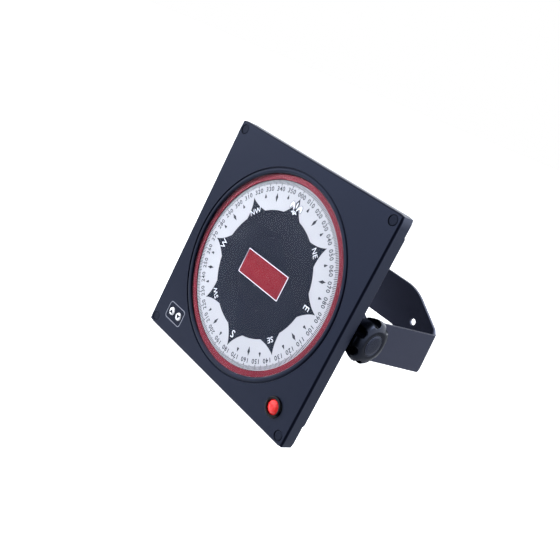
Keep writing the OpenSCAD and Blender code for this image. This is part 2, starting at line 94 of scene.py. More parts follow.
# ---- materials ----
def nodes_of(name):
    material = bpy.data.materials.new(name)
    material.use_nodes = True
    tree = material.node_tree
    return material, tree, tree.nodes["Principled BSDF"]


def noise(tree, size, detail=3.0, rough=0.5):
    """A noise pattern fixed to the object, with features of the given size in millimetres."""
    place = tree.nodes.new("ShaderNodeTexCoord")
    pattern = tree.nodes.new("ShaderNodeTexNoise")
    pattern.inputs["Scale"].default_value = 1 / (size * MM)
    pattern.inputs["Detail"].default_value = detail
    pattern.inputs["Roughness"].default_value = rough
    tree.links.new(place.outputs["Object"], pattern.inputs["Vector"])
    return pattern.outputs["Fac"]


def map_range(tree, source, start, end, low, high, shape="LINEAR"):
    """Maps start..end of a value to low..high."""
    ramp = tree.nodes.new("ShaderNodeMapRange")
    ramp.interpolation_type = shape
    for key, value in (("From Min", start), ("From Max", end), ("To Min", low), ("To Max", high)):
        ramp.inputs[key].default_value = value
    tree.links.new(source, ramp.inputs["Value"])
    return ramp.outputs["Result"]


def spread(tree, pattern, low, high):
    """Maps a pattern's middle range to low..high."""
    return map_range(tree, pattern, NOISE_LOW, NOISE_HIGH, low, high)


def two_tones(tree, pattern, first, second):
    """A colour that drifts between two tones with a pattern."""
    ramp = tree.nodes.new("ShaderNodeValToRGB")
    for element, place, tone in zip(ramp.color_ramp.elements, (NOISE_LOW, NOISE_HIGH), (first, second)):
        element.position = place
        element.color = (*tone, 1)
    tree.links.new(pattern, ramp.inputs["Fac"])
    return ramp.outputs["Color"]


def bump(tree, shader, pattern, height):
    """Gives the shader a relief of the given height in millimetres."""
    node = tree.nodes.new("ShaderNodeBump")
    node.inputs["Distance"].default_value = height * MM
    tree.links.new(pattern, node.inputs["Height"])
    tree.links.new(node.outputs["Normal"], shader.inputs["Normal"])


def mix_by_ray(tree, ray, otherwise, chosen, surface_input):
    """Feeds a surface with one shader for rays of the named kind and another for the rest."""
    path = tree.nodes.new("ShaderNodeLightPath")
    mix = tree.nodes.new("ShaderNodeMixShader")
    tree.links.new(path.outputs[ray], mix.inputs["Fac"])
    tree.links.new(otherwise, mix.inputs[1])
    tree.links.new(chosen, mix.inputs[2])
    tree.links.new(mix.outputs["Shader"], surface_input)


def surface(name, first, second, rough, cloud, grain=0.5, relief=0.01, metallic=0.0, specular=0.5, coat=0.0,
            emission=0.0, tint=(1, 1, 1)):
    """A moulded, painted or metal surface: tone in clouds, roughness and relief in a fine grain.

    The sizes of the clouds and the grain and the height of the relief are in millimetres.
    """
    material, tree, shader = nodes_of(name)
    tree.links.new(two_tones(tree, noise(tree, cloud), first, second), shader.inputs["Base Color"])
    fine = noise(tree, grain, detail=4.0, rough=0.6)
    tree.links.new(spread(tree, fine, *rough), shader.inputs["Roughness"])
    bump(tree, shader, fine, relief)
    for key, value in (("Metallic", metallic), ("Specular IOR Level", specular), ("Coat Weight", coat),
                       ("Coat Roughness", 0.1), ("Specular Tint", (*tint, 1)),
                       ("Emission Color", (*second, 1)), ("Emission Strength", emission)):
        shader.inputs[key].default_value = value
    return material


def clear_pane(name):
    """Flat clear acrylic that lets lamps through to the dial."""
    material, tree, shader = nodes_of(name)
    shader.inputs["Base Color"].default_value = (0.96, 0.98, 1.0, 1)
    shader.inputs["Transmission Weight"].default_value = 1.0
    shader.inputs["IOR"].default_value = 1.12
    smears = noise(tree, 30.0)
    tree.links.new(spread(tree, smears, 0.0, 0.008), shader.inputs["Roughness"])
    through = tree.nodes.new("ShaderNodeBsdfTransparent")
    mix_by_ray(tree, "Is Shadow Ray", shader.outputs["BSDF"], through.outputs["BSDF"],
               tree.nodes["Material Output"].inputs["Surface"])
    return material


PAINT_TINT = (0.56, 0.66, 1.0)
# Of each: two tones, the range of roughness, the size of the clouds, and what differs from plain.
LOOKS = {
    "case_paint": (((0.0025, 0.0036, 0.0102), (0.0034, 0.0047, 0.0128), (0.3, 0.4), 60),
                   dict(grain=0.45, relief=0.008, specular=0.6, tint=PAINT_TINT)),
    "cover_paint": (((0.0036, 0.005, 0.0135), (0.005, 0.0066, 0.0165), (0.36, 0.46), 50),
                    dict(grain=0.5, relief=0.01, specular=0.6, tint=PAINT_TINT)),
    "bracket_paint": (((0.0022, 0.0024, 0.0042), (0.003, 0.0033, 0.0055), (0.34, 0.44), 40),
                      dict(grain=0.6, relief=0.012, specular=1.0, tint=(0.56, 0.62, 1.0))),
    "plug_black": (((0.002, 0.003, 0.008), (0.003, 0.0045, 0.011), (0.4, 0.5), 4),
                   dict(relief=0.005, specular=0.45, tint=PAINT_TINT)),
    "rubber": (((0.01, 0.01, 0.01), (0.02, 0.02, 0.02), (0.7, 0.85), 6), dict(relief=0.02)),
    "steel": (((0.52, 0.53, 0.56), (0.64, 0.65, 0.68), (0.22, 0.36), 5),
              dict(grain=0.2, relief=0.004, metallic=1.0)),
    "aluminium": (((0.62, 0.63, 0.66), (0.74, 0.75, 0.78), (0.3, 0.45), 12), dict(metallic=1.0)),
    "brass": (((0.68, 0.5, 0.2), (0.78, 0.6, 0.27), (0.22, 0.35), 6), dict(metallic=1.0)),
    "red_ring": (((0.135, 0.0075, 0.019), (0.165, 0.011, 0.024), (0.35, 0.5), 24),
                 dict(relief=0.002, specular=0.3)),
    "dial_dark": (((0.0046, 0.0068, 0.0158), (0.0058, 0.0086, 0.019), (0.6, 0.75), 40),
                  dict(relief=0.0003, specular=0.2)),
    "card_white": (((0.44, 0.443, 0.48), (0.46, 0.463, 0.5), (0.5, 0.6), 45),
                   dict(relief=0.002, specular=0.3)),
    "display_red": (((0.155, 0.007, 0.0145), (0.19, 0.0115, 0.02), (0.22, 0.34), 14),
                    dict(relief=0.002, specular=0.3)),
    "dark_plastic": (((0.014, 0.014, 0.018), (0.022, 0.022, 0.026), (0.4, 0.55), 8), dict(relief=0.015)),
    "circuit_board": (((0.012, 0.09, 0.035), (0.02, 0.13, 0.05), (0.25, 0.4), 5), {}),
    "white_board": (((0.7, 0.7, 0.66), (0.78, 0.78, 0.74), (0.35, 0.5), 10), {}),
    "green_plastic": (((0.05, 0.22, 0.07), (0.07, 0.28, 0.09), (0.4, 0.5), 6), {}),
    "gear_plastic": (((0.72, 0.69, 0.58), (0.78, 0.75, 0.64), (0.4, 0.55), 8), {}),
    "motor_paint": (((0.05, 0.053, 0.065), (0.07, 0.073, 0.085), (0.4, 0.5), 12), {}),
    "lamp": (((0.8, 0.74, 0.45), (0.9, 0.84, 0.55), (0.15, 0.25), 2), {}),
    "label_black": (((0.003, 0.0042, 0.011), (0.004, 0.0055, 0.014), (0.34, 0.46), 8),
                    dict(grain=0.3, relief=0.006, specular=0.4, tint=PAINT_TINT)),
    # The keys glow faintly: painted light that brightens their white, not a lamp in them.
    "key_white": (((0.82, 0.84, 0.9), (0.88, 0.9, 0.95), (0.25, 0.4), 4),
                  dict(relief=0.003, emission=0.25)),
    "gloss_black": (((0.001, 0.001, 0.003), (0.002, 0.002, 0.005), (0.1, 0.16), 5),
                    dict(relief=0.002, specular=0.3)),
    "lens_red": (((0.5, 0.008, 0.01), (0.72, 0.03, 0.028), (0.1, 0.2), 3),
                 dict(grain=2.4, relief=0.05, coat=0.5, emission=0.55)),
    "knob_black": (((0.0015, 0.0018, 0.003), (0.0024, 0.0028, 0.0045), (0.18, 0.26), 9),
                   dict(grain=0.6, relief=0.005, specular=0.3, tint=PAINT_TINT)),
    "knob_cap": (((0.004, 0.0046, 0.009), (0.0055, 0.006, 0.0115), (0.24, 0.34), 7),
                 dict(relief=0.004, specular=0.55, tint=PAINT_TINT)),
    "print_dark": (((0.012, 0.014, 0.024), (0.016, 0.018, 0.03), (0.5, 0.62), 10),
                   dict(relief=0.001, specular=0.3)),
    "print_white": (((0.72, 0.75, 0.83), (0.78, 0.81, 0.88), (0.45, 0.55), 10),
                    dict(relief=0.001, specular=0.3)),
    "print_grey": (((0.2, 0.22, 0.28), (0.27, 0.29, 0.36), (0.4, 0.5), 6), dict(relief=0.001)),
}
M = {name: surface(name, *plain, **special) for name, (plain, special) in LOOKS.items()}
M["window"] = clear_pane("window")

slot_of = {row["node"]: row["material_slot"] for row in frame["record"]["subparts"]}
for name, obj in nodes.items():
    obj.data.materials.clear()
    obj.data.materials.append(M[slot_of[name]])


# ---- mesh tools: every shape is drawn in the instrument's frame, in millimetres ----
def shade_smooth(mesh, angle):
    """Smooth shading, but for edges that turn by more than an angle in degrees."""
    for face in mesh.polygons:
        face.use_smooth = True
    mesh.set_sharp_from_angle(angle=math.radians(angle))


def piece(name, bm, body, material, smooth=35.0, matrix=INSTRUMENT):
    """Turns a bmesh into a piece that rides on a CAD body."""
    bmesh.ops.remove_doubles(bm, verts=bm.verts, dist=1e-4)
    bmesh.ops.recalc_face_normals(bm, faces=bm.faces)
    mesh = bpy.data.meshes.new(name)
    bm.to_mesh(mesh)
    bm.free()
    mesh.transform(matrix)
    mesh.materials.append(M[material])
    shade_smooth(mesh, smooth)
    obj = bpy.data.objects.new(name, mesh)
    scene.collection.objects.link(obj)
    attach(obj, body)
    return obj


def skin(bm, rings, closed=False):
    """Joins rings of vertices, each a list of the same length or a single point, with quads."""
    rows = [[bm.verts.new(p) for p in ring] for ring in rings]
    pairs = list(zip(rows, rows[1:])) + ([(rows[-1], rows[0])] if closed else [])
    for first, second in pairs:
        count = max(len(first), len(second))
        for i in range(count):
            j = (i + 1) % count
            corners = [first[i % len(first)], first[j % len(first)], second[j % len(second)],
                       second[i % len(second)]]
            unique = list(dict.fromkeys(corners))
            if len(unique) > 2:
                bm.faces.new(unique)


def lathe(bm, profile, centre=(0.0, 0.0), steps=128, closed=False):
    """Turns a profile of (radius, depth) points about the line along Y through centre (x, z)."""
    rings = []
    for r, y in profile:
        if r < ON_AXIS:
            rings.append([(centre[0], y, centre[1])])
            continue
        rings.append([(centre[0] + r * math.cos(a), y, centre[1] + r * math.sin(a))
                      for a in (2 * math.pi * i / steps for i in range(steps))])
    skin(bm, rings, closed)


def plate(bm, outline, front, back):
    """A flat plate with the outline, a list of (x, z), from depth front to depth back."""
    near = [bm.verts.new((x, front, z)) for x, z in outline]
    far = [bm.verts.new((x, back, z)) for x, z in outline]
    bm.faces.new(near)
    bm.faces.new(far[::-1])
    for i in range(len(near)):
        j = (i + 1) % len(near)
        bm.faces.new([near[i], far[i], far[j], near[j]])


def ribbon(bm, line, width, front, back, closed=True):
    """A flat band of the given width along a line of (x, z) points."""
    points = [Vector(p) for p in line]
    count = len(points)
    inner, outer = [], []
    for i, point in enumerate(points):
        before = points[i - 1] if closed or i else points[i]
        after = points[(i + 1) % count] if closed or i < count - 1 else points[i]
        along = (after - before).normalized()
        side = Vector((-along.y, along.x)) * width / 2
        inner.append(point + side)
        outer.append(point - side)
    last = count if closed else count - 1
    for i in range(last):
        j = (i + 1) % count
        plate(bm, [inner[i], inner[j], outer[j], outer[i]], front, back)


def rounded_square(half_w, half_h, radius, steps, centre=(0.0, 0.0)):
    """Points of a rectangle with round corners, starting at the right and going round towards up."""
    points = []
    corners = [(1, 1, 0), (-1, 1, 90), (-1, -1, 180), (1, -1, 270)]
    for sx, sz, start in corners:
        for i in range(steps + 1):
            a = math.radians(start + 90 * i / steps)
            points.append((centre[0] + sx * (half_w - radius) + radius * math.cos(a),
                           centre[1] + sz * (half_h - radius) + radius * math.sin(a)))
    return points


def arc_points(radius, start, end, steps):
    """Points on a circle by compass angle: 0 is up and 90 is right."""
    return [(radius * math.sin(math.radians(a)), radius * math.cos(math.radians(a)))
            for a in (start + (end - start) * i / steps for i in range(steps + 1))]


def polar(radius, bearing):
    a = math.radians(bearing)
    return Vector((radius * math.sin(a), radius * math.cos(a)))


# ---- front bezel ----
OPENING_R = 80.4
BEZEL_CORNER_R = 2.5
BEZEL_STEPS = 256


def square_ring(inset, y):
    """One ring round the bezel, its points spaced so that they face the circle's points."""
    half = HALF - inset
    corner = max(0.3, BEZEL_CORNER_R - inset)
    ring = []
    for i in range(BEZEL_STEPS):
        a = 2 * math.pi * i / BEZEL_STEPS
        c, s = math.cos(a), math.sin(a)
        reach = half / max(abs(c), abs(s))
        x, z = reach * c, reach * s
        over_x, over_z = abs(x) - (half - corner), abs(z) - (half - corner)
        if over_x > 0 and over_z > 0:
            length = math.hypot(over_x, over_z)
            x = math.copysign(half - corner + over_x * corner / length, x)
            z = math.copysign(half - corner + over_z * corner / length, z)
        ring.append((x, y, z))
    return ring


def circle_ring(r, y):
    return [(r * math.cos(a), y, r * math.sin(a))
            for a in (2 * math.pi * i / BEZEL_STEPS for i in range(BEZEL_STEPS))]


def cutter(fill, name):
    """A tool for cut(), its mesh drawn by fill."""
    mesh = bpy.data.meshes.new(name)
    bm = bmesh.new()
    fill(bm)
    bmesh.ops.recalc_face_normals(bm, faces=bm.faces)
    bm.to_mesh(mesh)
    bm.free()
    mesh.transform(INSTRUMENT)
    obj = bpy.data.objects.new(name, mesh)
    scene.collection.objects.link(obj)
    return obj


def cut(target, tools):
    """Cuts the tools out of a piece and removes them."""
    for tool in tools:
        modifier = target.modifiers.new("cut", "BOOLEAN")
        modifier.operation = "DIFFERENCE"
        modifier.solver = "EXACT"
        modifier.object = tool
    evaluated = target.evaluated_get(bpy.context.evaluated_depsgraph_get())
    mesh = bpy.data.meshes.new_from_object(evaluated)
    target.modifiers.clear()
    old = target.data
    target.data = mesh
    bpy.data.meshes.remove(old)
    for tool in tools:
        bpy.data.objects.remove(tool)
    mesh.set_sharp_from_angle(angle=math.radians(30))


# How much further back the rim of the two sides reaches, and between which heights.
RIM_EXTRA, RIM_TOP, RIM_LOW = 1.6, 80, -75
PLUG_R = 3.85
bezel_high = local_box("front_bezel")[1]
plug_high = local_box("corner_plugs")[1]
CORNERS = [(sx * (plug_high.x - PLUG_R), sz * (plug_high.z - PLUG_R))
           for sx in (-1, 1) for sz in (-1, 1)]
label_low, label_high = local_box("keypad_label")
KEYPAD = centre_of("keypad_label")
PAD_W, PAD_H = label_high.x - label_low.x, label_high.z - label_low.z
lens_low, lens_high = local_box("button_lens")
ring_low, ring_high = local_box("button_bezel")
BUTTON = centre_of("button_lens")
KEYS = [centre_of("key_up"), centre_of("key_down")]


def make_bezel():
    """The moulded front: a dial lip with its groove, a chamfered edge, and a hollow back."""
    bm = bmesh.new()
    back = bezel_high.y
    lip = [(0.0, 4.5), (0.0, 1.3), (0.06, 1.0), (0.3, 0.66), (0.7, 0.32), (1.2, 0.06), (1.7, -0.08),
           (2.2, -0.1), (2.7, -0.06), (3.2, 0.06), (3.6, 0.26), (3.85, 0.5), (4.02, 0.8),
           (4.3, 0.95), (4.75, 0.92), (4.9, 0.5), (4.98, 0.12), (5.12, 0.0), (5.3, 0.0)]
    rings = [circle_ring(OPENING_R + out, y) for out, y in lip]
    edge = [(1.8, 0.0), (1.58, 0.0), (1.4, 0.04), (1.26, 0.14), (0.18, 1.22), (0.05, 1.4),
            (0.0, 1.6), (0.0, 1.9), (0.0, back - 0.7), (0.0, back - 0.4), (0.12, back - 0.12),
            (0.4, back), (3.0, back), (3.0, 9.6), (6.0, 9.6), (6.0, 3.0)]
    rings += [square_ring(inset, y) for inset, y in edge]
    rings += [circle_ring(r, y) for r, y in ((83.4, 3.0), (83.4, 7.0), (77.0, 7.0), (77.0, 4.5))]
    skin(bm, rings, closed=True)
    obj = piece("bezel_body", bm, "instrument", "case_paint", smooth=30)

    def holes(bm):
        for x, z in CORNERS:
            lathe(bm, [(0, -1), (4.35, -1), (4.35, 0), (4.0, 0.4), (4.0, 2.9), (0, 2.9)], (x, z), 64)

    def pad(bm):
        plate(bm, rounded_square(PAD_W / 2 + 0.1, PAD_H / 2 + 0.1, 3.0, 10, KEYPAD), -1, 0.5)

    def button(bm):
        lathe(bm, [(0, -1), (7.3, -1), (7.3, 4), (0, 4)], BUTTON, 64)

    def keys(bm):
        for x, z in KEYS:
            lathe(bm, [(0, -1), (3.8, -1), (3.8, 4), (0, 4)], (x, z), 48)

    def rim_end(z, s):
        """Cuts the side rims' extra depth away beyond height z, up for s = 1 and down for s = -1."""
        def fill(bm):
            side = [(back - RIM_EXTRA, z + s * RIM_EXTRA), (back + 1, z - s),
                    (back + 1, s * (HALF + 1)), (back - RIM_EXTRA, s * (HALF + 1))]
            near = [bm.verts.new((-HALF - 1, y, height)) for y, height in side]
            far = [bm.verts.new((HALF + 1, y, height)) for y, height in side]
            bm.faces.new(near)
            bm.faces.new(far[::-1])
            for i in range(4):
                j = (i + 1) % 4
                bm.faces.new([near[i], far[i], far[j], near[j]])
        return fill

    cut(obj, [cutter(holes, "cut_plugs"), cutter(pad, "cut_pad"), cutter(button, "cut_button"),
              cutter(keys, "cut_keys"), cutter(rim_end(RIM_TOP, 1), "cut_top"),
              cutter(rim_end(RIM_LOW, -1), "cut_low")])
    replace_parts(obj, "front_bezel")


make_bezel()


def make_plugs():
    bm = bmesh.new()
    for centre in CORNERS:
        lathe(bm, [(0, 0.42), (1.6, 0.36), (2.9, 0.3), (3.45, 0.34), (3.75, 0.5), (PLUG_R, 0.75),
                   (PLUG_R, 1.6), (0, 1.6)], centre, 48)
    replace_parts(piece("plug_caps", bm, "instrument", "plug_black"), "corner_plugs")


make_plugs()


def make_pane():
    """The flat window, with eased edges, a hair clear of the ring it rests on."""
    bm = bmesh.new()
    r = OPENING_R - 0.15
    lathe(bm, [(0, 0.6), (r - 0.35, 0.6), (r - 0.1, 0.7), (r, 0.95), (r, 1.75), (r - 0.15, 2.0),
               (r - 0.35, 2.04), (0, 2.04)], steps=180)
    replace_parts(piece("window_pane", bm, "instrument", "window", smooth=20), "window_glass")


make_pane()


# ---- compass card printing, which turns with the card ----
# Depths of the fronts of the four layers of print.
INK, INK_WHITE, INK_LINE, INK_CORE = (CARD_Y - proud for proud in (0.05, 0.09, 0.12, 0.16))
POINTS = 8
POINT_PITCH = 360 / POINTS
# The star: radius of its points, radius of the arcs between them, half a point's width in degrees,
# and how far a point's sides curve in.
TIP_R = 65.2
SHOULDER_R = 51.2
SHOULDER = POINT_PITCH / 4
HOLLOW = 1.5
# Height at which the north point is cut short, and half the width of the cut.
NORTH_R = 57.6
NORTH_HALF_W = 8
STAR_INNER_R = 29.05


def star_outline():
    """Eight points with hollow sides, joined by arcs; the north point is cut short for its mark."""
    steps = 9
    outline = []
    for k in range(POINTS):
        bearing = POINT_PITCH * k
        left, right = polar(SHOULDER_R, bearing - SHOULDER), polar(SHOULDER_R, bearing + SHOULDER)
        top = polar(TIP_R, bearing)
        for start, end in ((left, top), (top, right)):
            middle = (start + end) / 2
            pull = (polar(middle.length, bearing) - middle).normalized() * HOLLOW * 2
            for t in (i / steps for i in range(steps)):
                outline.append(start * (1 - t) ** 2 + (middle + pull) * 2 * t * (1 - t) + end * t * t)
        arc = arc_points(SHOULDER_R, bearing + SHOULDER, bearing + POINT_PITCH - SHOULDER, 8)
        outline += [Vector(p) for p in arc[:-1]]
    return [Vector((p.x, min(p.y, NORTH_R))) if abs(p.x) < NORTH_HALF_W and p.y > 0 else p
            for p in outline]


def make_star():
    """The dark ring of the star, from the card's inner edge out to its outline."""
    outline = star_outline()
    inner = [p.normalized() * STAR_INNER_R for p in outline]
    bm = bmesh.new()
    rows = [[bm.verts.new((p.x, y, p.y)) for p in line]
            for line, y in ((inner, INK), (outline, INK), (outline, CARD_Y), (inner, CARD_Y + 0.9))]
    for first, second in zip(rows, rows[1:] + rows[:1]):
        for i in range(len(outline)):
            j = (i + 1) % len(outline)
            bm.faces.new([first[i], first[j], second[j], second[i]])
    piece("star_print", bm, "card", "dial_dark")


make_star()


def make_scale():
    """A line for each degree, longer at each five and each ten."""
    bm = bmesh.new()
    for degree in range(360):
        if degree % 10 == 0:
            inner, width = 70.8, 0.62
        elif degree % 5 == 0:
            inner, width = 71.5, 0.58
        else:
            inner, width = 72.1, 0.54
        ribbon(bm, [polar(inner, degree), polar(75.0, degree)], width, INK, CARD_Y, closed=False)
    piece("degree_lines", bm, "card", "print_dark")


make_scale()


def words(bm, text, size, centre_r, bearing, front, spacing, weight=0.0):
    """Letters or figures of a given height, their tops outward, centred at a bearing on the card."""
    curve = bpy.data.curves.new("words", "FONT")
    curve.body = text
    curve.space_character = spacing
    curve.offset = weight
    curve.resolution_u = 3
    obj = bpy.data.objects.new("words", curve)
    scene.collection.objects.link(obj)
    evaluated = obj.evaluated_get(bpy.context.evaluated_depsgraph_get())
    mesh = bpy.data.meshes.new_from_object(evaluated)
    xs, ys = [v.co.x for v in mesh.vertices], [v.co.y for v in mesh.vertices]
    scale = size / (max(ys) - min(ys))
    middle_x, middle_y = (min(xs) + max(xs)) / 2, (min(ys) + max(ys)) / 2
    across, out = polar(1, bearing + 90), polar(1, bearing)

    def place(v, y):
        p = across * (v.co.x - middle_x) * scale + out * (centre_r + (v.co.y - middle_y) * scale)
        return (p.x, y, p.y)

    near = [bm.verts.new(place(v, front)) for v in mesh.vertices]
    far = [bm.verts.new(place(v, CARD_Y)) for v in mesh.vertices]
    uses = {}
    for face in mesh.polygons:
        ids = list(face.vertices)
        bm.faces.new([near[i] for i in ids])
        bm.faces.new([far[i] for i in reversed(ids)])
        for i, j in zip(ids, ids[1:] + ids[:1]):
            uses.setdefault(frozenset((i, j)), []).append((i, j))
    for pairs in uses.values():
        if len(pairs) == 1:
            i, j = pairs[0]
            bm.faces.new([near[i], far[i], far[j], near[j]])
    bpy.data.objects.remove(obj)
    bpy.data.curves.remove(curve)
    bpy.data.meshes.remove(mesh)


def make_numbers():
    bm = bmesh.new()
    for degree in range(0, 360, 10):
        words(bm, f"{degree:03d}", 3.85, 68.3, degree, INK, spacing=1.14, weight=0.016)
    piece("degree_numbers", bm, "card", "print_dark")


make_numbers()


def make_letters():
    """Letters at every point but north."""
    bm = bmesh.new()
    # The text, its height and the radius of its middle, from north-east round.
    letters = (("NE", 4.4, 53.2), ("E", 5.8, 54.6), ("SE", 4.4, 53.2), ("S", 6.2, 54.6),
               ("SW", 4.4, 53.2), ("W", 5.2, 54.4), ("NW", 4.4, 53.2))
    for k, (text, size, out) in enumerate(letters, 1):
        words(bm, text, size, out, POINT_PITCH * k, INK_WHITE, spacing=1.05)
    piece("point_letters", bm, "card", "print_white")


make_letters()


def make_point_marks():
    """Between two points of the star: a long diamond, and a small arrowhead on each side of it."""
    bm = bmesh.new()
    for k in range(POINTS):
        middle = POINT_PITCH * (k + 0.5)
        diamond = [(64.9, 0), (63.2, 0.5), (61.3, 1.35), (59.6, 0.75), (57.3, 0)]
        arrow = [(65.0, 0), (62.0, 1.1), (61.3, 0.8), (61.3, -0.8), (62.0, -1.1)]
        marks = [(middle, diamond + [(r, -w) for r, w in diamond[-2:0:-1]])]
        marks += [(middle + turn, arrow) for turn in (-SHOULDER, SHOULDER)]
        for bearing, shape in marks:
            right = polar(1, bearing + 90)
            plate(bm, [polar(r, bearing) + right * w for r, w in shape], INK, CARD_Y)
    piece("point_marks", bm, "card", "print_dark")


make_point_marks()


def smooth_line(points, steps=5):
    """A closed smooth line through the points."""
    count = len(points)
    line = []
    for i in range(count):
        p0, p1, p2, p3 = (Vector(points[(i + k - 1) % count]) for k in range(4))
        for s in range(steps):
            t = s / steps
            line.append(0.5 * ((2 * p1) + (p2 - p0) * t + (2 * p0 - 5 * p1 + 4 * p2 - p3) * t * t
                               + (3 * p1 - p0 - 3 * p2 + p3) * t ** 3))
    return line


def mirrored(half):
    """A whole outline from its right half, whose first and last points lie on the middle line."""
    return half + [(-x, z) for x, z in half[-2:0:-1]]


def make_north_mark():
    """A plain three-petalled north mark: white petals with a fine dark line, and a short stem."""
    petal = [(1.1, 56.6), (2.1, 59.3), (3.8, 61.4), (5.6, 61.6), (6.8, 60.0), (6.9, 57.7),
             (5.9, 55.7), (4.9, 57.4), (4.1, 58.3), (2.9, 57.2), (1.9, 55.6)]
    white, dark = bmesh.new(), bmesh.new()
    for s in (1, -1):
        line = smooth_line([(s * x, z) for x, z in petal])
        plate(white, line, INK_WHITE, CARD_Y)
        ribbon(dark, line, 0.34, INK_LINE, CARD_Y)
    middle = [(0, 65.8), (0.75, 63.9), (1.75, 62.2), (2.1, 60.9), (1.5, 59.4), (0.75, 57.6),
              (0, 56.6)]
    plate(dark, mirrored(middle), INK_LINE, CARD_Y)
    heart = [(0, 62.9), (0.55, 61.8), (0.75, 60.6), (0.5, 58.8), (0, 57.2)]
    plate(white, mirrored(heart), INK_CORE, CARD_Y)
    plate(white, [(-1.9, 55.4), (1.9, 55.4), (1.9, 54.7), (-1.9, 54.7)], INK_WHITE, CARD_Y)
    for s in (1, -1):
        leaf = [(0.6, 54.2), (2.6, 54.5), (3.2, 53.6), (2.0, 53.5)]
        plate(white, smooth_line([(s * x, z) for x, z in leaf], 4), INK_WHITE, CARD_Y)
    plate(white, [(-1.0, 54.3), (1.0, 54.3), (1.1, 53.2), (0, 51.9), (-1.1, 53.2)], INK_WHITE, CARD_Y)
    piece("north_petals", white, "card", "print_white")
    piece("north_lines", dark, "card", "print_dark")


make_north_mark()


# ---- window outline on the fixed centre disc ----
def make_window_outline():
    low, high = local_box("display_window")
    bm = bmesh.new()
    half_w, half_h = (high.x - low.x) / 2 + 0.3, (high.z - low.z) / 2 + 0.3
    ribbon(bm, rounded_square(half_w, half_h, 0.3, 3), 0.6, low.y - 0.08, CARD_Y)
    piece("window_outline", bm, "instrument", "print_white")


make_window_outline()


# ---- keypad ----
def make_keypad():
    bm = bmesh.new()
    line = rounded_square(PAD_W / 2 - 0.25, PAD_H / 2 - 0.25, 2.8, 10, KEYPAD)
    ribbon(bm, line, 0.75, 0.02, 0.3)
    piece("pad_outline", bm, "instrument", "print_grey")
    for name, (x, z), sign in (("key_up", KEYS[0], 1), ("key_down", KEYS[1], -1)):
        cap = bmesh.new()
        lathe(cap, [(0, -0.62), (1.2, -0.6), (2.2, -0.52), (2.9, -0.38), (3.2, -0.2), (3.35, 0.1),
                    (3.5, 0.5), (3.5, 3.2), (4.4, 3.2), (4.4, 4.0), (1.5, 4.0), (1.5, 4.6),
                    (0, 4.6)], (x, z), 64)
        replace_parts(piece(name + "_cap", cap, name, "key_white"), name)
        mark = bmesh.new()
        half_w, tip, foot = 2.3, z + sign * 1.9, z - sign * 1.52
        plate(mark, [(x - half_w, foot), (x, tip), (x + half_w, foot)], -0.68, -0.4)
        piece(name + "_arrow", mark, name, "print_dark")
    collar = bmesh.new()
    for x, z in KEYS:
        lathe(collar, [(3.75, 0.15), (3.85, -0.12), (4.15, -0.2), (4.5, -0.05),
                       (4.75, 0.12)], (x, z), 64)
    piece("key_collars", collar, "instrument", "label_black")


make_keypad()


# ---- push button ----
def make_button():
    ring = bmesh.new()
    r0, r1 = 6.05, ring_high.x - BUTTON[0]
    proud = ring_low.y
    lathe(ring, [(r0, 7.4), (r0, proud + 0.35), (r0 + 0.1, proud + 0.1), (r0 + 0.35, proud),
                 (r1 - 1.3, proud), (r1 - 0.6, proud + 0.18), (r1 - 0.18, proud + 0.6),
                 (r1, proud + 1.1), (r1, 0.0), (7.2, 0.0), (7.2, 7.4)], BUTTON, 96, closed=True)
    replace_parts(piece("button_ring", ring, "instrument", "gloss_black"), "button_bezel")
    lens = bmesh.new()
    r = lens_high.x - BUTTON[0]
    top = lens_low.y
    lathe(lens, [(0, top), (1.9, top + 0.1), (3.6, top + 0.55), (5.0, top + 1.3), (r, top + 2.2),
                 (r, 4.5), (2, 4.5), (2, 5.8), (0, 5.8)], BUTTON, 12)
    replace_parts(piece("button_dome", lens, "push_button", "lens_red", smooth=8), "button_lens")


make_button()


# ---- clamp knobs ----
KNOB_STEPS = 336
LOBES = 7
# Radius of a scallop and the distance of its centre from the knob's axis.
SCALLOP_R = 4.4
SCALLOP_AT = 18.4
# The scallops cut only what is further out than this.
LID_EDGE_R = 11.3
JOIN_R = 0.45
KNOB_TURN = -11.0


def soft_min(a, b, blend):
    """The smaller of two lengths, with a round join between them."""
    h = max(0.0, min(1.0, 0.5 + 0.5 * (b - a) / blend))
    return b * (1 - h) + a * h - blend * h * (1 - h)


def knob_radius(outer, angle):
    """Radius of the grip at an angle: lobes with round scallops between them."""
    pitch = 360 / LOBES
    turn = (angle + pitch / 2) % pitch - pitch / 2
    a = math.radians(turn)
    reach = SCALLOP_R ** 2 - (SCALLOP_AT * math.sin(a)) ** 2
    if reach <= 0:
        return outer
    scallop = SCALLOP_AT * math.cos(a) - math.sqrt(reach)
    return soft_min(outer, scallop, JOIN_R)


def knob_matrix(side):
    """Knob's own frame, +Z out along the knob's axis from its foot, into the instrument's frame."""
    node = "right_knob" if side > 0 else "left_knob"
    low, high = local_box(node)
    foot = low.x if side > 0 else high.x
    centre_y, centre_z = (low.y + high.y) / 2, (low.z + high.z) / 2
    place = Matrix.Translation((foot, centre_y, centre_z))
    lay = Matrix.Rotation(math.radians(90 * side), 4, "Y")
    turn = Matrix.Rotation(math.radians(KNOB_TURN), 4, "Z")
    return INSTRUMENT @ place @ lay @ turn


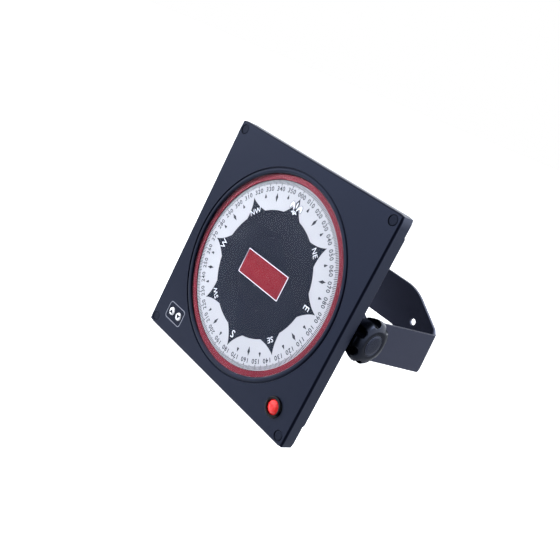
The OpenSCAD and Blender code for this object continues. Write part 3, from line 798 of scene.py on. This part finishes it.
def make_knob(side, body):
    """A scalloped grip on its round foot, and the lid pressed into its end."""
    profile = [(13.2, 6.05), (14.3, 6.35), (15.2, 7.2), (16.0, 8.6), (16.6, 10.2), (17.2, 11.8),
               (17.7, 13.4), (18.0, 15.0), (18.2, 16.6), (18.1, 17.9), (17.75, 19.0), (17.2, 19.9),
               (16.4, 20.7), (15.4, 21.35), (14.3, 21.85), (13.2, 22.25), (12.3, 22.55),
               (11.6, 22.75), (11.0, 22.85), (10.2, 22.9), (9.2, 22.9), (8.8, 22.85), (8.65, 22.7),
               (8.6, 22.2), (0, 22.2)]
    bm = bmesh.new()
    turns = [360 * i / KNOB_STEPS for i in range(KNOB_STEPS)]

    def circle(r, z):
        return [(r * math.cos(math.radians(a)), r * math.sin(math.radians(a)), z) for a in turns]

    rings = [[(0, 0, 0)], circle(9.4, 0), circle(9.8, 0.15), circle(10, 0.6), circle(10, 5.4),
             circle(10.2, 5.9), circle(10.6, 6.0)]
    for r, z in profile:
        if r < ON_AXIS:
            rings.append([(0, 0, z)])
            continue
        reaches = [knob_radius(r, a) if r > LID_EDGE_R else r for a in turns]
        rings.append([(reach * math.cos(math.radians(a)), reach * math.sin(math.radians(a)), z)
                      for reach, a in zip(reaches, turns)])
    skin(bm, rings)
    grip = piece(f"{body}_grip", bm, body, "knob_black", smooth=50, matrix=knob_matrix(side))
    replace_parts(grip, body)
    cap = bmesh.new()
    edge = [(0, 22.0), (8.5, 22.0), (8.5, 22.72), (8.42, 22.9), (8.2, 22.98), (7.7, 22.98),
            (7.55, 22.9), (7.4, 22.98), (5.5, 23.08), (2.8, 23.16), (0, 23.19)]
    skin(cap, [[(0, 0, z)] if r < ON_AXIS else circle(r, z) for r, z in edge])
    lid = piece(f"{body}_lid", cap, body, "knob_cap", smooth=35, matrix=knob_matrix(side))
    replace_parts(lid, body + "_cap")


make_knob(1, "right_knob")
make_knob(-1, "left_knob")


# ---- softened edges on CAD nodes that stay ----
def soften(node, width):
    bevel = nodes[node].modifiers.new("edges", "BEVEL")
    bevel.width = width * MM
    bevel.segments = 2
    bevel.limit_method = "ANGLE"
    bevel.angle_limit = math.radians(50)


for obj in nodes.values():
    shade_smooth(obj.data, 30)
soften("bracket", 0.35)
soften("rear_housing", 0.5)
soften("rear_cover", 0.35)


# ---- camera, light and floor ----
# Roughly the middle of the instrument.
MIDDLE = Vector((0, -0.12, 0))


def make_camera():
    data = bpy.data.cameras.new("camera")
    data.lens = 53.9
    data.sensor_width = 36
    data.clip_start, data.clip_end = 0.01, 50
    camera = bpy.data.objects.new("camera", data)
    scene.collection.objects.link(camera)
    camera.location = (0.43507, -0.5941, 0.20176)
    camera.rotation_euler = [math.radians(a) for a in (71.109, -21.378, 49.960)]
    scene.camera = camera
    return camera


camera = make_camera()
VIEW = (camera.location - MIDDLE).normalized()


def glow(tree, place, towards, start, end, low, high):
    """Brightness that rises from low to high as a direction turns towards a given one."""
    dot = tree.nodes.new("ShaderNodeVectorMath")
    dot.operation = "DOT_PRODUCT"
    dot.inputs[1].default_value = Vector(towards).normalized()
    tree.links.new(place, dot.inputs[0])
    return map_range(tree, dot.outputs["Value"], start, end, low, high, "SMOOTHSTEP")


def combine(tree, operation, first, second):
    node = tree.nodes.new("ShaderNodeMath")
    node.operation = operation
    tree.links.new(first, node.inputs[0])
    tree.links.new(second, node.inputs[1])
    return node.outputs["Value"]


def make_world():
    """Pale room, brighter at the left and behind, dimmer below and dark on the camera's side.

    The camera itself sees plain white.
    """
    world = bpy.data.worlds.new("room")
    world.use_nodes = True
    tree = world.node_tree
    tree.nodes.clear()
    out = tree.nodes.new("ShaderNodeOutputWorld")
    place = tree.nodes.new("ShaderNodeTexCoord").outputs["Generated"]
    left = glow(tree, place, (-0.68, -0.7, 0.2), 0.45, 0.95, 0.1, 1.5)
    behind = glow(tree, place, (0.62, 0.74, 0.12), 0.3, 0.9, 0.0, 2.5)
    over = glow(tree, place, (-0.55, 0.78, 0.3), 0.7, 0.97, 0.0, 1.6)
    above = glow(tree, place, (0.0, 0.0, 1.0), -0.42, 0.06, 0.34, 1.0)
    dark = glow(tree, place, (0.69, -0.69, 0.08), 0.72, 0.93, 1.0, 0.02)
    bright = combine(tree, "ADD", combine(tree, "ADD", left, behind), over)
    bright = combine(tree, "MULTIPLY", combine(tree, "MULTIPLY", bright, above), dark)
    room = tree.nodes.new("ShaderNodeBackground")
    room.inputs["Color"].default_value = (0.88, 0.92, 1.0, 1)
    tree.links.new(bright, room.inputs["Strength"])
    seen = tree.nodes.new("ShaderNodeBackground")
    seen.inputs["Color"].default_value = (1, 1, 1, 1)
    mix_by_ray(tree, "Is Camera Ray", room.outputs["Background"], seen.outputs["Background"],
               out.inputs["Surface"])
    scene.world = world


make_world()


def softbox(name, place, aim, size, power, colour=(1, 1, 1)):
    data = bpy.data.lights.new(name, "AREA")
    data.shape = "RECTANGLE"
    data.size, data.size_y = size
    data.energy = power
    data.color = colour
    lamp = bpy.data.objects.new(name, data)
    scene.collection.objects.link(lamp)
    lamp.location = place
    lamp.rotation_mode = "QUATERNION"
    lamp.rotation_quaternion = (Vector(aim) - Vector(place)).to_track_quat("-Z", "Y")
    return lamp


# The key casts the lip's shadow on the ring. Gloss doesn't show it, so the front has no hot spot.
softbox("key", (-1.13, -0.67, 0.41), MIDDLE, (0.25, 0.25), 31).visible_glossy = False
softbox("rim", (0.9, 0.5, 0.7), (0.05, -0.1, 0), (0.7, 0.5), 8, (0.93, 0.95, 1))


def make_floor():
    """A plain pale floor below and behind, which lights the object only as grey card would."""
    bm = bmesh.new()
    side = Vector((-VIEW.y, VIEW.x, 0)).normalized()
    away = Vector((-VIEW.x, -VIEW.y, 0)).normalized()
    middle = MIDDLE - Vector((0, 0, 0.42))
    corners = [middle + side * a + away * b for a, b in ((-5, -0.45), (5, -0.45), (5, 9), (-5, 9))]
    bm.faces.new([bm.verts.new(p) for p in corners])
    mesh = bpy.data.meshes.new("floor")
    bm.to_mesh(mesh)
    bm.free()
    material, tree, shader = nodes_of("floor")
    tree.links.new(two_tones(tree, noise(tree, 400), (0.93, 0.94, 0.95), (0.95, 0.955, 0.96)),
                   shader.inputs["Base Color"])
    for key, value in (("Roughness", 0.8), ("Specular IOR Level", 0.2), ("Emission Color", (1, 1, 1, 1)),
                       ("Emission Strength", 0.7)):
        shader.inputs[key].default_value = value
    card = tree.nodes.new("ShaderNodeBsdfDiffuse")
    card.inputs["Color"].default_value = (0.4, 0.41, 0.43, 1)
    mix_by_ray(tree, "Is Camera Ray", card.outputs["BSDF"], shader.outputs["BSDF"],
               tree.nodes["Material Output"].inputs["Surface"])
    mesh.materials.append(material)
    floor = bpy.data.objects.new("floor", mesh)
    scene.collection.objects.link(floor)


make_floor()

scene.view_settings.view_transform = "Standard"
scene.view_settings.look = "None"
